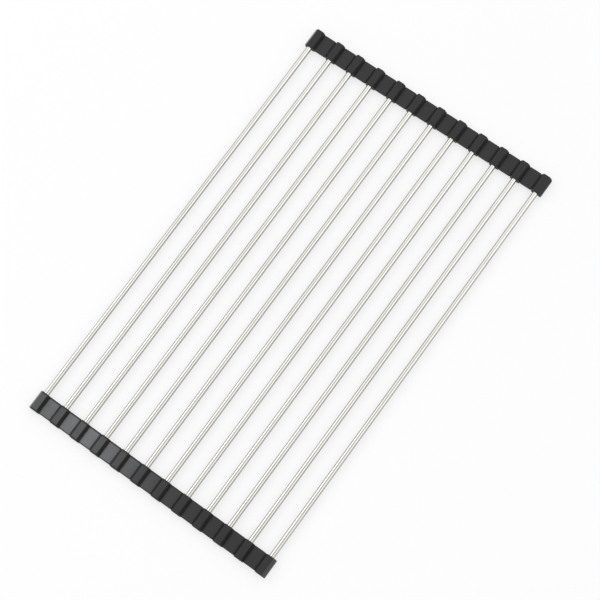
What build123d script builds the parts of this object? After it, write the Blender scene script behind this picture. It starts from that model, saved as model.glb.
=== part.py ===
"""Roll-up dish rack: steel tubes whose ends sit in two jointed rubber strips.

Millimetres. X runs along the tubes, Y across them, Z up. The origin is under
the middle of the flat rack, on the surface that it lies on.
"""
import os

from build123d import *

# The rack
tube_count = 12
tube_pitch = 26.2
strip_span = 500.0
end_margin = 6.3

# Tubes
tube_diameter = 6.0
tube_wall = 0.5
tube_end_gap = 0.2

# Blocks, one round each end of each tube
block_cover = 2.0
block_side_wall = 2.8
crown_width = 7.2
crown_radius = 1.0
shoulder_drop = 0.2
shoulder_radius = 0.5
foot_bevel = 0.9
block_edge_radius = 0.6
block_outer_overhang = 0.6
block_inner_overhang = 0.2
socket_clearance = 0.05
socket_end_wall = 3.0

# Links, the flat pads between the blocks
link_width = 20.6
link_thickness = 2.8
link_drop = 0.6
link_corner_radius = 0.8
link_edge_radius = 0.6
groove_width = 0.8

# Hinges, the thin bends of the strip in each groove
film_thickness = 1.4
film_inset = 0.3
hinge_setback = 0.2
hinge_clearance = 0.1

# How far a cut runs past the face that it opens
cut_overrun = 1.0

# Places that follow from the sizes above
tube_radius = tube_diameter / 2
block_height = tube_diameter + 2 * block_cover
block_half_width = tube_radius + block_side_wall
tube_height = block_height / 2
hinge_height = tube_height - link_drop
hinge_offset = block_half_width + hinge_setback
shoulder_height = hinge_height + link_thickness / 2 - shoulder_drop
link_start = block_half_width + groove_width
link_length = tube_pitch - 2 * link_start
strip_outer = strip_span / 2
strip_inner = strip_outer - link_width
block_outer = strip_outer + block_outer_overhang
block_inner = strip_inner - block_inner_overhang
block_length = block_outer - block_inner
socket_depth = block_length - socket_end_wall
tube_half_length = block_inner + socket_depth - tube_end_gap


def tube_place(index):
    """Y of a tube's axis, counted from the rack's back end."""
    return ((tube_count - 1) / 2 - index) * tube_pitch


def section_plane(x, y):
    """A plane square to the tubes, with its own X along the strip and its Y up."""
    return Plane(origin=(x, y, 0), x_dir=(0, 1, 0), z_dir=(1, 0, 0))


def make_tube(y):
    """A thin tube from one blind socket to the other."""
    with BuildPart() as tube:
        with BuildSketch(section_plane(-tube_half_length, y)):
            with Locations((0, tube_height)):
                Circle(tube_radius)
                Circle(tube_radius - tube_wall, mode=Mode.SUBTRACT)
        extrude(amount=2 * tube_half_length)
    return tube


def make_block(side, y, back_half, front_half):
    """A crowned block with a blind socket, and a hinge seat in each joined side."""
    low_x = block_inner if side > 0 else -block_outer
    socket_x = block_inner - cut_overrun if side > 0 else -block_inner - socket_depth
    crown_half = crown_width / 2
    outline = [
        (-front_half + foot_bevel, 0),
        (-front_half, foot_bevel),
        (-front_half, shoulder_height),
        (-crown_half, block_height),
        (crown_half, block_height),
        (back_half, shoulder_height),
        (back_half, foot_bevel),
        (back_half - foot_bevel, 0),
    ]
    with BuildPart() as block:
        with BuildSketch(section_plane(low_x, y)) as section:
            with BuildLine():
                Polyline(outline, close=True)
            make_face()
            levels = section.vertices().group_by(Axis.Y)
            fillet(levels[-1], radius=crown_radius)
            fillet(levels[-2], radius=shoulder_radius)
        extrude(amount=block_length)
        end_faces = block.faces().filter_by(Axis.X)
        fillet(end_faces.edges(), radius=block_edge_radius)
        with BuildSketch(section_plane(socket_x, y)):
            with Locations((0, tube_height)):
                Circle(tube_radius + socket_clearance)
        extrude(amount=socket_depth + cut_overrun, mode=Mode.SUBTRACT)
        joined_sides = [s for s, half in ((1, back_half), (-1, front_half)) if half == block_half_width]
        with BuildSketch(section_plane(low_x - cut_overrun, y)):
            with Locations(*[(s * hinge_offset, hinge_height) for s in joined_sides]):
                Circle(film_thickness / 2 + hinge_clearance)
        extrude(amount=block_length + 2 * cut_overrun, mode=Mode.SUBTRACT)
    return block


def make_link(side, y):
    """A flat pad with a round-nosed film that turns in the seats of both blocks."""
    low_x = strip_inner if side > 0 else -strip_outer
    with BuildPart() as link:
        with BuildSketch(section_plane(low_x, y)):
            with Locations((0, hinge_height)):
                Rectangle(link_length, link_thickness)
        extrude(amount=link_width)
        fillet(link.edges().filter_by(Axis.Z), radius=link_corner_radius)
        flat_faces = link.faces().filter_by(Axis.Z)
        fillet(flat_faces.edges(), radius=link_edge_radius)
        with BuildSketch(section_plane(low_x + film_inset, y)):
            with Locations((0, hinge_height)):
                SlotCenterToCenter(tube_pitch - 2 * hinge_offset, film_thickness)
        extrude(amount=link_width - 2 * film_inset)
    return link


def save(piece, name):
    """Labels a finished piece and writes it to its own file."""
    piece.part.label = name
    export_step(piece.part, f"parts/{name}.step")


os.makedirs("parts", exist_ok=True)

for index in range(tube_count):
    tube_y = tube_place(index)
    number = f"{index + 1:02d}"
    save(make_tube(tube_y), f"tube_{number}")
    back_half = end_margin if index == 0 else block_half_width
    front_half = end_margin if index == tube_count - 1 else block_half_width
    for side, side_name in ((-1, "left"), (1, "right")):
        save(make_block(side, tube_y, back_half, front_half), f"{side_name}_block_{number}")

for index in range(tube_count - 1):
    link_y = (tube_place(index) + tube_place(index + 1)) / 2
    for side, side_name in ((-1, "left"), (1, "right")):
        save(make_link(side, link_y), f"{side_name}_link_{index + 1:02d}")
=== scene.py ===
"""Looks of a roll-up dish rack: twelve steel tubes held by two black rubber strips.

Metres. X runs along the tubes, Y across them and Z up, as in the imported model. Sizes
repeat those of the solids, apart from edges that are softer or crisper here.
"""

import bpy
import numpy as np
from mathutils import Matrix, Vector


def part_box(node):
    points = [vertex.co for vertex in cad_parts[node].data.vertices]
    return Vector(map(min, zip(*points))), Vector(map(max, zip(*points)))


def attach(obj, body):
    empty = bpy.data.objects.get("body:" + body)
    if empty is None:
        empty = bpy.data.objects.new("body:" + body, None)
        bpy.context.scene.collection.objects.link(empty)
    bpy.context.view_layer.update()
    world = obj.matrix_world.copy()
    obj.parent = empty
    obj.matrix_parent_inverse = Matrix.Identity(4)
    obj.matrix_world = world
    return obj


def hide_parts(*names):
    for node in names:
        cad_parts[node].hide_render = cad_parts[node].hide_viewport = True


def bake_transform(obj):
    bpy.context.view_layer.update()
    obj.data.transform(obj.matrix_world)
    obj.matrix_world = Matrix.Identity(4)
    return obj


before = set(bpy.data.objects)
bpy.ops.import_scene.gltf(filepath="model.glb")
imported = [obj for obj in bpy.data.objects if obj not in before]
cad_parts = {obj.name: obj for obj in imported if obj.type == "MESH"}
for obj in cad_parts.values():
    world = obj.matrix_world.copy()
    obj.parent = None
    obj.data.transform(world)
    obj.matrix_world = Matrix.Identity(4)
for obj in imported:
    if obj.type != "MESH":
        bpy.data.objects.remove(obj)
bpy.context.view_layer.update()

mm = 0.001

# Tubes
tube_radius = 3.0 * mm
tube_wall = 0.5 * mm
tube_lip = 0.2 * mm

# Blocks
block_half = 5.8 * mm
block_height = 10.0 * mm
tube_height = block_height / 2
crown_half = 3.6 * mm
crown_radius = 1.0 * mm
shoulder_height = 5.6 * mm
shoulder_radius = 0.5 * mm
foot_bevel = 0.9 * mm
foot_radius = 0.4 * mm
block_edge = 0.9 * mm
socket_radius = 3.05 * mm
mouth_radius = 0.3 * mm
socket_end_wall = 3.0 * mm

# Links
groove_width = 0.8 * mm
link_corner = 0.4 * mm
link_edge = 0.3 * mm
link_low = 3.0 * mm
link_high = 5.8 * mm
link_wall_inset = 0.75 * mm

# Films, the thin bends in the grooves
film_inset = 0.1 * mm
film_thickness = 1.4 * mm
film_waist = 0.15 * mm
film_root = 1.0 * mm
hinge_setback = 0.2 * mm
hinge_height = 4.4 * mm
bend_reach = 0.3 * mm

# Fineness of the meshes
quarter = np.linspace(0, np.pi / 2, 7)
least_radius = 0.02 * mm
corner_points = 7
tube_stations, tube_around, lip_points = 41, 48, 9
film_stations, film_around = 25, 40
flat_shares = np.array([0.04, 0.35, 0.65, 0.96])
link_face_shares = (0.3, 0.7, 0.97)
block_face_shares = (0.15, 0.5, 0.85, 0.97)
block_side_shares = (0.02, 0.25, 0.5, 0.75, 0.98)
mouth_face_shares = (0.03, 0.5, 0.95)
bore_shares = (0.1, 0.55, 0.95, 1.0)
bottom_share = 0.5

# Painted sheen and painted light on the rubber: places along Y and X, and how far a face must turn
# to an end
painted_sheen_middle = 90.0 * mm
painted_sheen_spread = 55.0 * mm
painted_sheen_inner_rim = (230.6 * mm, 231.6 * mm)
painted_sheen_outer_rim = (249.4 * mm, 248.5 * mm)
painted_light_left_side = (0.0, -200.0 * mm)
end_block_painted_sheen = (137.5 * mm, 140.5 * mm)
end_flank = (147.0 * mm, 147.6 * mm)
flat_top_facing = (0.90, 0.99)
flank_facing = (0.35, 0.75)
front_flank_share = 0.53

# Steel colours, and how far a face turns up where the painted shade on a tube's flanks starts and
# is full
steel_shade = (0.54, 0.53, 0.49, 1.0)
steel_bright = (0.625, 0.62, 0.585, 1.0)
steel_marked = (0.48, 0.47, 0.43, 1.0)
steel_painted_shade = (0.42, 0.405, 0.37, 1.0)
steel_edge_tint = (0.70, 0.69, 0.67, 1.0)
painted_shade_facing = (0.62, 0.30)

# Floor
floor_half = 40.0
floor_drop = 0.02 * mm
floor_shade = (0.250, 0.250, 0.256, 1.0)
floor_bright = (0.256, 0.256, 0.262, 1.0)
floor_glow = 0.690

# Camera, square to the photograph's frame
camera_place = Vector((-0.3187, -0.4809, 1.9108))
camera_right = Vector((0.58783, -0.80286, -0.09933))
camera_up = Vector((0.79302, 0.54760, 0.26694))
camera_back = Vector((-0.15992, -0.23569, 0.95858))
camera_lens = 116.6
sensor_width = 36.0
half_pixel = 0.5 / 600


# Shapes


def skin(name, rings, wear, poles=None):
    """A closed mesh through rings of points, each ring joined to the next.

    rings is (stations, points around, 3), and wear is 0 to 1 at each of its points. With
    poles, two points close the first and last ring; without, the last ring joins the first.
    """
    stations, around, _ = rings.shape
    index = np.arange(stations * around).reshape(stations, around)
    if poles is None:
        here, there = index, np.roll(index, -1, axis=0)
    else:
        here, there = index[:-1], index[1:]
    quads = np.stack(
        [here, np.roll(here, -1, axis=1), np.roll(there, -1, axis=1), there], axis=-1
    ).reshape(-1, 4)
    points, worn = rings.reshape(-1, 3), wear.reshape(-1)
    # Six times the volume between the quads and the middle is above 0 where they face out
    a, b, c, d = np.moveaxis(points[quads] - points.mean(axis=0), 1, 0)
    faces_out = (np.cross(b, c) * a).sum() + (np.cross(c, d) * a).sum() > 0
    patches = [quads]
    if poles is not None:
        first, last = np.full(around, len(points)), np.full(around, len(points) + 1)
        start, end = index[0], index[-1]
        patches.append(np.column_stack([first, np.roll(start, -1), start]))
        patches.append(np.column_stack([last, end, np.roll(end, -1)]))
        points = np.vstack([points, poles])
        worn = np.append(worn, [0.0, 0.0])
    order = 1 if faces_out else -1
    faces = [face for patch in patches for face in patch[:, ::order].tolist()]
    mesh = bpy.data.meshes.new(name)
    mesh.from_pydata(points.tolist(), [], faces)
    mesh.attributes.new("wear", "FLOAT", "POINT").data.foreach_set("value", worn)
    mesh.polygons.foreach_set("use_smooth", [True] * len(mesh.polygons))
    mesh.update()
    piece = bpy.data.objects.new(name, mesh)
    bpy.context.collection.objects.link(piece)
    return piece


def unit(vectors):
    """Vectors divided by their lengths."""
    return vectors / np.linalg.norm(vectors, axis=-1, keepdims=True)


def rounded_outline(corners, radii, inset=0.0):
    """Points round a convex polygon with rounded corners, drawn in by inset.

    At each corner an arc of radius r - inset touches both sides; its centre is on the
    corner's bisector, (r - inset) / sin(half the corner's angle) from the moved corner.
    Returns the points and their wear, 1 in the middle of an arc and 0 on the flats.
    """
    corners = np.array(corners, float)
    radius = np.maximum(np.array(radii, float) - inset, least_radius)[:, None]
    to_last = unit(np.roll(corners, 1, axis=0) - corners)
    to_next = unit(np.roll(corners, -1, axis=0) - corners)
    half_sine = np.sqrt((1 - (to_last * to_next).sum(1, keepdims=True)) / 2)
    centre = corners + unit(to_last + to_next) * (inset + radius) / half_sine
    normal_in = np.stack([-to_last[:, 1], to_last[:, 0]], axis=1)
    normal_out = np.stack([to_next[:, 1], -to_next[:, 0]], axis=1)
    if ((centre - corners) * normal_in).sum() > 0:
        normal_in, normal_out = -normal_in, -normal_out
    share = np.linspace(0, 1, corner_points)
    turn = unit(normal_in[:, None] * (1 - share[:, None]) + normal_out[:, None] * share[:, None])
    arcs = centre[:, None] + radius[:, None] * turn
    after = np.roll(arcs[:, 0], -1, axis=0)[:, None]
    flats = arcs[:, -1:] * (1 - flat_shares[:, None]) + after * flat_shares[:, None]
    points = np.concatenate([arcs, flats], axis=1).reshape(-1, 2)
    worn = np.concatenate([np.sin(np.pi * share), np.zeros(len(flat_shares))])
    return points, np.tile(worn, len(corners))


def make_tube(name, low, high):
    """A thin tube: a long thin loop in X and radius, with round lips, turned about the axis.

    The loop goes out along the outer wall, round a lip, back along the bore and round the
    other lip. The turn puts (x, r) at (x, r sin v, r cos v) from the axis.
    """
    middle_y, middle_z = (low.y + high.y) / 2, (low.z + high.z) / 2
    half_wall = tube_wall / 2
    run = np.linspace(low.x + tube_lip, high.x - tube_lip, tube_stations)
    wall = np.full(tube_stations, half_wall)
    lip = np.linspace(-np.pi / 2, np.pi / 2, lip_points)[1:-1]
    lip_x, lip_r = tube_lip * np.cos(lip), half_wall * np.sin(lip)
    x = np.concatenate([run, run[-1] + lip_x[::-1], run[::-1], run[0] - lip_x])
    r = tube_radius - half_wall + np.concatenate([wall, lip_r[::-1], -wall, lip_r])
    x, r = x[:, None], r[:, None]
    turn = np.linspace(0, 2 * np.pi, tube_around, endpoint=False)
    y, z = middle_y + r * np.sin(turn), middle_z + r * np.cos(turn)
    rings = np.stack(np.broadcast_arrays(x, y, z), axis=-1)
    return skin(name, rings, np.zeros(rings.shape[:2]))


def block_corners(back_half, front_half):
    """Corners of a block's section in (y, z), from the floor under its tube's axis."""
    return [
        (back_half - foot_bevel, 0),
        (back_half, foot_bevel),
        (back_half, shoulder_height),
        (crown_half, block_height),
        (-crown_half, block_height),
        (-front_half, shoulder_height),
        (-front_half, foot_bevel),
        (foot_bevel - front_half, 0),
    ]


def make_block(name, low, high, side, tube_y):
    """A crowned block: its section carried along X, with round ends and a blind socket.

    At angle t of an end's quarter circle the section is drawn in by r (1 - cos t), and it
    lies r (1 - sin t) from the end. The inner end narrows to the socket's mouth, rolls in
    over it, and runs down the bore to its flat bottom.
    """
    corners = block_corners(high.y - tube_y, tube_y - low.y)
    radii = [foot_radius, foot_radius, shoulder_radius, crown_radius]
    radii += radii[::-1]
    outer_x, inner_x = (high.x, low.x) if side > 0 else (low.x, high.x)
    rings, wears = [], []

    def add(x, section, worn):
        rings.append(np.column_stack([np.full(len(section), x), section]))
        wears.append(worn)

    def add_round_end(x, inward, angles):
        for angle in angles:
            section, worn = rounded_outline(corners, radii, block_edge * (1 - np.cos(angle)))
            depth = block_edge * (1 - np.sin(angle))
            add(x + inward * depth, section, np.maximum(worn, np.sin(2 * angle)))

    face, _ = rounded_outline(corners, radii, block_edge)
    full, full_worn = rounded_outline(corners, radii)
    axis = np.array([0.0, tube_height])
    spoke = unit(face - axis)
    reach = np.linalg.norm(face - axis, axis=1, keepdims=True)
    unworn = np.zeros(len(face))
    mouth = socket_radius + mouth_radius
    bottom = outer_x - side * socket_end_wall
    side_start, side_end = outer_x - side * block_edge, inner_x + side * block_edge

    for share in block_face_shares:
        add(outer_x, axis + spoke * reach * share, unworn)
    add_round_end(outer_x, -side, quarter[::-1])
    for share in block_side_shares:
        add(side_start * (1 - share) + side_end * share, full, full_worn)
    add_round_end(inner_x, side, quarter)
    for share in mouth_face_shares:
        add(inner_x, axis + spoke * (reach * (1 - share) + mouth * share), unworn)
    for angle in quarter:
        radius = mouth - mouth_radius * np.sin(angle)
        add(inner_x + side * mouth_radius * (1 - np.cos(angle)), axis + spoke * radius, unworn)
    for share in bore_shares:
        add(inner_x * (1 - share) + bottom * share, axis + spoke * socket_radius, unworn)
    add(bottom, axis + spoke * socket_radius * bottom_share, unworn)

    rings = np.array(rings) + [0.0, tube_y, 0.0]
    poles = [(outer_x, tube_y, tube_height), (bottom, tube_y, tube_height)]
    return skin(name, rings, np.array(wears), poles)


def make_link(name, low, high, half_length):
    """A flat pad: a rounded rectangle carried up, with round edges and flat faces.

    At angle t of an edge's quarter circle the outline is drawn in by r (1 - cos t), and it
    lies r (1 - sin t) from the face. Smaller copies of the outline fill the faces.
    """
    middle_x, middle_y = (low.x + high.x) / 2, (low.y + high.y) / 2
    half_x, half_y = (high.x - low.x) / 2, half_length
    corners = [(half_x, -half_y), (half_x, half_y), (-half_x, half_y), (-half_x, -half_y)]
    radii = [link_corner] * len(corners)
    inset, rise = link_edge * (1 - np.cos(quarter)), link_edge * (1 - np.sin(quarter))
    bend = np.sin(2 * quarter)
    wall = [link_low + link_wall_inset, link_high - link_wall_inset]
    insets = np.concatenate([inset[::-1], [0, 0], inset])
    heights = np.concatenate([link_low + rise[::-1], wall, link_high - rise])
    bends = np.concatenate([bend[::-1], [0, 0], bend])
    rings, wears = [], []

    def add(outline, z, worn):
        rings.append(np.column_stack([outline, np.full(len(outline), z)]))
        wears.append(np.full(len(outline), worn))

    flat, _ = rounded_outline(corners, radii, link_edge)
    for share in link_face_shares:
        add(flat * share, link_low, 0.0)
    for inset, z, worn in zip(insets, heights, bends):
        outline, _ = rounded_outline(corners, radii, inset)
        add(outline, z, worn)
    for share in link_face_shares[::-1]:
        add(flat * share, link_high, 0.0)
    rings = np.array(rings) + [middle_x, middle_y, 0.0]
    poles = [(middle_x, middle_y, link_low), (middle_x, middle_y, link_high)]
    return skin(name, rings, np.array(wears), poles)


def make_film(name, low_x, high_x, hinge_y, way):
    """A thin web across one groove: a round-ended slab carried along Y, thinner at its waist.

    way is 1 where the link lies towards -Y of the hinge and -1 where it lies towards +Y.
    At share s of its length the half thickness is less by waist sin(pi s)^2.
    """
    share = np.linspace(0, 1, film_stations)[:, None]
    y = hinge_y + way * (hinge_setback + film_root - share * (2 * film_root + groove_width))
    half = film_thickness / 2 - film_waist * np.sin(np.pi * share) ** 2
    middle_x, half_x = (low_x + high_x) / 2, (high_x - low_x) / 2
    turn = np.linspace(0, 2 * np.pi, film_around, endpoint=False)
    flat_end = np.sign(np.cos(turn)) * (half_x - film_thickness / 2)
    x = middle_x + flat_end + half * np.cos(turn)
    z = hinge_height + half * np.sin(turn)
    rings = np.stack(np.broadcast_arrays(x, y, z), axis=-1)
    poles = [(middle_x, y[0, 0], hinge_height), (middle_x, y[-1, 0], hinge_height)]
    return skin(name, rings, np.zeros(rings.shape[:2]), poles)


# Finishes


class Value:
    """A node's output on which arithmetic adds Math nodes."""

    def __init__(self, finish, socket):
        self.finish, self.socket = finish, socket

    def math(self, operation, *others):
        return self.finish.node("ShaderNodeMath", {"operation": operation}, [self, *others])

    def __add__(self, other):
        return self.math("ADD", other)

    def __sub__(self, other):
        return self.math("SUBTRACT", other)

    def __mul__(self, other):
        return self.math("MULTIPLY", other)

    def __neg__(self):
        return self.math("MULTIPLY", -1.0)

    def __rsub__(self, other):
        return -self + other

    __radd__ = __add__
    __rmul__ = __mul__


class Finish:
    """A node tree that is being built."""

    def __init__(self, tree):
        self.tree = tree
        tree.nodes.clear()

    def node(self, kind, settings=None, inputs=None, out=0):
        """Adds a node: its settings, then its sockets' values or links, and gives one output."""
        added = self.tree.nodes.new(kind)
        for key, value in (settings or {}).items():
            setattr(added, key, value)
        pairs = inputs.items() if isinstance(inputs, dict) else enumerate(inputs or [])
        for key, value in pairs:
            if isinstance(value, Value):
                self.tree.links.new(value.socket, added.inputs[key])
            else:
                added.inputs[key].default_value = value
        return Value(self, added.outputs[out]) if added.outputs else None

    def place(self):
        """Where a point lies on the rack, in metres."""
        return self.node("ShaderNodeTexCoord", out="Object")

    def facing(self):
        """Which way the surface faces, in the rack's own directions."""
        return self.node("ShaderNodeTexCoord", out="Normal")

    def part(self, vector, axis):
        return self.node("ShaderNodeSeparateXYZ", {}, {"Vector": vector}, out=axis)

    def noise(self, place, scale, detail, roughness):
        """Cloudy values round 0.5, with scale cells to the metre, or one scale for each axis."""
        if isinstance(scale, tuple):
            place = self.node("ShaderNodeMapping", {}, {"Vector": place, "Scale": scale})
            scale = 1.0
        inputs = {"Vector": place, "Scale": scale, "Detail": detail, "Roughness": roughness}
        return self.node("ShaderNodeTexNoise", {}, inputs)

    def between(self, low, high, value):
        """0 where value is at low or before it, 1 at high or past it, and straight between."""
        return self.node("ShaderNodeMapRange", {}, [value, low, high, 0.0, 1.0])

    def mix(self, factor, first, second):
        """A colour from first to second as factor goes from 0 to 1."""
        inputs = {"Factor": factor, "A": first, "B": second}
        return self.node("ShaderNodeMix", {"data_type": "RGBA"}, inputs, out="Result")

    def bump(self, height, strength, distance):
        inputs = {"Height": height, "Strength": strength, "Distance": distance}
        return self.node("ShaderNodeBump", {}, inputs, out="Normal")

    def surface(self, **inputs):
        """Ends the tree in a principled shader. Spaces in its sockets' names are underscores."""
        sockets = {key.replace("_", " "): value for key, value in inputs.items()}
        shader = self.node("ShaderNodeBsdfPrincipled", {}, sockets, out="BSDF")
        self.node("ShaderNodeOutputMaterial", {}, {"Surface": shader})


def new_material(name):
    """A material, and the finish that builds its nodes."""
    material = bpy.data.materials.new(name)
    material.use_nodes = True
    return material, Finish(material.node_tree)


def grey(level, warmth=0.0):
    """A grey that leans to red where warmth is above 0 and to blue where it is below."""
    return (level * (1 + warmth), level, level * (1 - warmth), 1.0)


def brushed_steel():
    """Bright drawn steel: hair lines along the tube, faint rings round it, and water marks.

    A tube's flanks, which face sideways or down, carry painted shade: they are coloured darker than
    its top.
    """
    mark_strength, hair_height, ring_height = 0.25, 0.7, 0.3
    smoothest, hair_rough, cloud_rough, mark_rough = 0.08, 0.12, 0.05, 0.10
    material, made = new_material("brushed_steel_tube")
    place = made.place()
    hair = made.noise(place, scale=(14.0, 2600.0, 2600.0), detail=4.0, roughness=0.65)
    rings = made.noise(place, scale=(2400.0, 90.0, 90.0), detail=2.0, roughness=0.5)
    clouds = made.noise(place, scale=(30.0, 160.0, 160.0), detail=4.0, roughness=0.6)
    drops = made.noise(place, scale=(60.0, 260.0, 260.0), detail=3.0, roughness=0.5)
    marks = made.between(0.60, 0.72, drops)
    # Painted shade: faces turned sideways or down are darkened in colour
    flank = made.between(*painted_shade_facing, made.part(made.facing(), "Z"))
    colour = made.mix(clouds, steel_shade, steel_bright)
    colour = made.mix(marks * mark_strength, colour, steel_marked)
    colour = made.mix(flank, colour, steel_painted_shade)
    height = hair * hair_height + rings * ring_height
    made.surface(
        Base_Color=colour,
        Metallic=1.0,
        Roughness=smoothest + hair * hair_rough + clouds * cloud_rough + marks * mark_rough,
        Specular_Tint=steel_edge_tint,
        Normal=made.bump(height, strength=0.30, distance=0.02 * mm),
    )
    return material


def moulded_rubber(name, level, smoothest, painted_sheen_level):
    """Black moulded rubber: a fine matt grain, cloudy tone, rubbed edges and a little dust.

    A painted sheen, grey standing in for light reflected off the rubber, lies on the left
    strip's flat tops, exp(-((y - middle) / spread)^2 / 2) along it. It covers the back end
    block too, and stops short of the strip's two rims.
    The flanks at the strips' free ends carry painted light, a grey at the back and a little
    at the left front, and the back ones are smoother, so that they shine at a shallow angle.
    """
    darker, lighter, rubbed_level = level * 0.8, level * 1.2, level * 2.6
    flank_painted_light_level, dust_level, rub_strength, dust_strength = 0.07, 0.25, 0.35, 0.16
    cloud_rough, grain_rough, rubbed_smooth, flank_smooth = 0.10, 0.06, 0.08, 0.36
    grain_height, scuff_height = 0.8, 0.2
    thinnest, thickening = 0.8, 0.4
    material, made = new_material(name)
    place, facing = made.place(), made.facing()
    across, along = made.part(place, "X"), made.part(place, "Y")
    from_middle = across.math("ABSOLUTE")
    grain = made.noise(place, scale=2600.0, detail=3.0, roughness=0.6)
    clouds = made.noise(place, scale=90.0, detail=4.0, roughness=0.6)
    scuffs = made.noise(place, scale=(160.0, 900.0, 500.0), detail=3.0, roughness=0.6)
    specks = made.noise(place, scale=1500.0, detail=1.0, roughness=0.5)
    dust = made.between(0.71, 0.76, specks)
    wear = made.node("ShaderNodeAttribute", {"attribute_name": "wear"}, out="Fac")
    rubbed = wear * made.between(0.35, 0.75, scuffs)
    patchy = thinnest + clouds * thickening

    # Painted sheen: grey on the left strip's upward faces and back end block, standing in for
    # reflected light
    left_side = made.between(*painted_light_left_side, across)
    flat_top = made.between(*flat_top_facing, made.part(facing, "Z"))
    rims = made.between(*painted_sheen_inner_rim, from_middle) * made.between(*painted_sheen_outer_rim, from_middle)
    spreads_away = (along - painted_sheen_middle) * (1 / painted_sheen_spread)
    fading = (spreads_away * spreads_away * -0.5).math("EXPONENT")
    back_block = made.between(*end_block_painted_sheen, along)
    painted_sheen = (fading + back_block) * left_side * flat_top * rims * patchy

    # Painted light: the free-end flanks are made grey, standing in for light they catch, mostly at
    # the back
    facing_back = made.part(facing, "Y")
    back_flank = made.between(*end_flank, along) * made.between(*flank_facing, facing_back)
    front_flank = made.between(*end_flank, -along) * made.between(*flank_facing, -facing_back)
    flank_painted_light = (back_flank + front_flank * left_side * front_flank_share) * patchy

    colour = made.mix(clouds, grey(darker, -0.03), grey(lighter, -0.02))
    colour = made.mix(painted_sheen, colour, grey(painted_sheen_level, -0.02))
    colour = made.mix(flank_painted_light, colour, grey(flank_painted_light_level, -0.03))
    colour = made.mix(rubbed * rub_strength, colour, grey(rubbed_level, -0.02))
    colour = made.mix(dust * dust_strength, colour, grey(dust_level, 0.02))
    uneven = clouds * cloud_rough + grain * grain_rough
    smooth = rubbed * rubbed_smooth + back_flank * flank_smooth
    height = grain * grain_height + scuffs * scuff_height
    made.surface(
        Base_Color=colour,
        Roughness=smoothest + uneven - smooth,
        IOR=1.43,
        Normal=made.bump(height, strength=0.25, distance=0.04 * mm),
    )
    return material


def white_floor():
    """A pale matt floor with the faintest unevenness, and a glow that keeps its shadows faint."""
    material, made = new_material("studio_floor")
    clouds = made.noise(made.place(), scale=3.0, detail=2.0, roughness=0.5)
    made.surface(
        Base_Color=made.mix(clouds, floor_shade, floor_bright),
        Roughness=0.9,
        Specular_IOR_Level=0.1,
        Emission_Color=(1.0, 1.0, 1.0, 1.0),
        Emission_Strength=floor_glow,
    )
    return material


# The rack

steel = brushed_steel()
# The last number of each rubber is the grey of its painted sheen
block_rubber = moulded_rubber("block_rubber_mat", level=0.012, smoothest=0.50, painted_sheen_level=0.064)
link_rubber = moulded_rubber("link_rubber_mat", level=0.0145, smoothest=0.48, painted_sheen_level=0.138)


def dress(piece, body, node, material):
    """Gives a finished piece its material slot and body, and hides the CAD node that it replaces.
    """
    piece.data.materials.append(material)
    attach(piece, body)
    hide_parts(node)


def dress_film(film, hinge_y, way):
    """Gives a film its rubber, and bakes its transform into its mesh."""
    film.data.materials.append(link_rubber)
    start = (0, hinge_y + way * bend_reach, hinge_height)
    end = (0, hinge_y - way * bend_reach, hinge_height)
    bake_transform(film)


numbers = sorted(name[-2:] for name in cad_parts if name.startswith("tube_"))
tube_y = {}
for number in numbers:
    low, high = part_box(f"tube_{number}")
    tube_y[number] = (low.y + high.y) / 2
    tube = make_tube(f"steel_tube_{number}", low, high)
    dress(tube, f"bar_{number}", f"tube_{number}", steel)

tube_pitch = tube_y[numbers[0]] - tube_y[numbers[1]]
link_half_length = tube_pitch / 2 - block_half - groove_width

for side, side_name in ((-1, "left"), (1, "right")):
    for number in numbers:
        node = f"{side_name}_block_{number}"
        low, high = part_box(node)
        block = make_block(f"moulded_{node}", low, high, side, tube_y[number])
        dress(block, f"bar_{number}", node, block_rubber)
    for number, following in zip(numbers, numbers[1:]):
        node = f"{side_name}_link_{number}"
        low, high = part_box(node)
        link = make_link(f"moulded_{node}", low, high, link_half_length)
        dress(link, f"link_{number}", node, link_rubber)
        for edge, bar, way in (("back", number, 1), ("front", following, -1)):
            hinge_y = tube_y[bar] - way * (block_half + hinge_setback)
            film_name = f"{side_name}_film_{number}_{edge}"
            film = make_film(film_name, low.x + film_inset, high.x - film_inset, hinge_y, way)
            dress_film(film, hinge_y, way)


# The studio


def lay_floor():
    """A wide square just under the rack's lowest faces."""
    half = floor_half
    corners = [(-half, -half), (half, -half), (half, half), (-half, half)]
    mesh = bpy.data.meshes.new("studio_floor")
    mesh.from_pydata([(x, y, -floor_drop) for x, y in corners], [], [(0, 1, 2, 3)])
    mesh.materials.append(white_floor())
    floor = bpy.data.objects.new("studio_floor", mesh)
    bpy.context.collection.objects.link(floor)


def soft_light(name, place, aim, size, power):
    """A square lamp at a place, facing the point that it is aimed at."""
    lamp = bpy.data.lights.new(name, "AREA")
    lamp.shape = "SQUARE"
    lamp.size, lamp.energy = size, power
    lit = bpy.data.objects.new(name, lamp)
    lit.location = place
    lit.rotation_mode = "QUATERNION"
    lit.rotation_quaternion = (Vector(aim) - Vector(place)).to_track_quat("-Z", "Y")
    bpy.context.collection.objects.link(lit)


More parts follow.
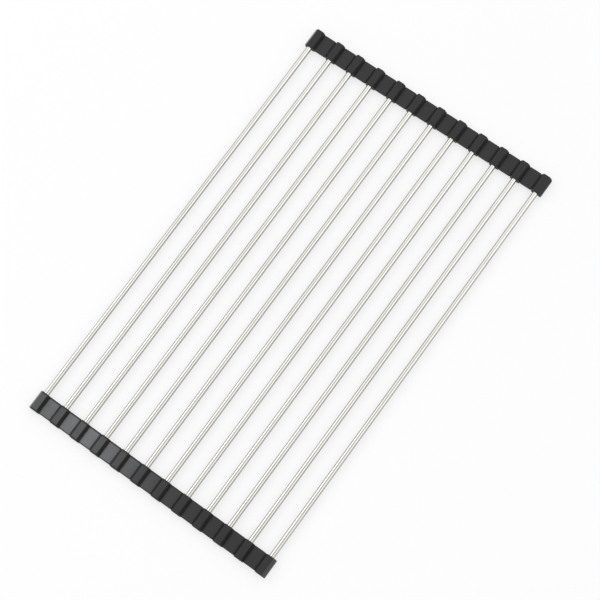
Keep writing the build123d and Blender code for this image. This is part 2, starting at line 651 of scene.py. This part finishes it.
def light_room():
    """A white room whose glow depends on the direction looked in alone.

    The glow is that of the walls, which rises with height and towards the window, plus the
    two ends that the tubes point at, a stripe across the ceiling and three round banks of
    light, less a little straight overhead. Angles are given as cosines or heights, 0 to 1.
    """
    wall_foot, wall_rise, away_side, window_side = 0.08, 0.72, 0.92, 0.34
    end_glow, overhead_shade, stripe_glow = 0.6, 0.10, 0.32
    world = bpy.data.worlds.new("studio_room")
    world.use_nodes = True
    bpy.context.scene.world = world
    room = Finish(world.node_tree)
    looking = room.node("ShaderNodeTexCoord", out="Generated")
    height, sideways = room.part(looking, "Z"), room.part(looking, "X")

    def cosine(aim):
        inputs = [looking, tuple(Vector(aim).normalized())]
        return room.node("ShaderNodeVectorMath", {"operation": "DOT_PRODUCT"}, inputs, out="Value")

    def bank(aim, edge, core, glow):
        return room.between(edge, core, cosine(aim)) * glow

    rise = room.between(0.0, 0.45, height)
    from_window = cosine((0.76, 0.65, 0.0))
    walls = (wall_foot + wall_rise * rise) * (away_side + window_side * from_window)
    ends = room.between(0.55, 0.85, sideways.math("ABSOLUTE")) * end_glow
    overhead = room.between(0.955, 0.995, height) * overhead_shade
    stripe = room.between(0.10, 0.28, sideways) * room.between(0.50, 0.36, sideways)
    stripe = stripe * rise * stripe_glow
    left_bank = bank(aim=(0.06, 0.70, 0.72), edge=0.80, core=0.95, glow=0.48)
    right_bank = bank(aim=(0.50, -0.52, 0.68), edge=0.86, core=0.97, glow=0.68)
    low_bank = bank(aim=(0.0, -0.83, 0.56), edge=0.86, core=0.97, glow=1.0)
    glow = walls + ends - overhead + stripe + left_bank + right_bank + low_bank
    inputs = {"Color": (0.985, 0.985, 1.0, 1.0), "Strength": glow}
    background = room.node("ShaderNodeBackground", {}, inputs, out="Background")
    room.node("ShaderNodeOutputWorld", {}, {"Surface": background})


def set_camera():
    """A long lens at the photograph's place and angle, moved half a pixel to match its frame."""
    camera = bpy.data.objects.new("camera", bpy.data.cameras.new("camera"))
    camera.data.lens = camera_lens
    camera.data.sensor_width = sensor_width
    camera.data.shift_x, camera.data.shift_y = -half_pixel, half_pixel
    turned = Matrix((camera_right, camera_up, camera_back)).transposed().to_4x4()
    camera.matrix_world = Matrix.Translation(camera_place) @ turned
    bpy.context.collection.objects.link(camera)
    bpy.context.scene.camera = camera


lay_floor()
soft_light("key_light", place=(-0.30, 1.60, 1.60), aim=(0, 0, 0), size=1.1, power=7)
light_room()
set_camera()
bpy.context.scene.view_settings.view_transform = "Standard"
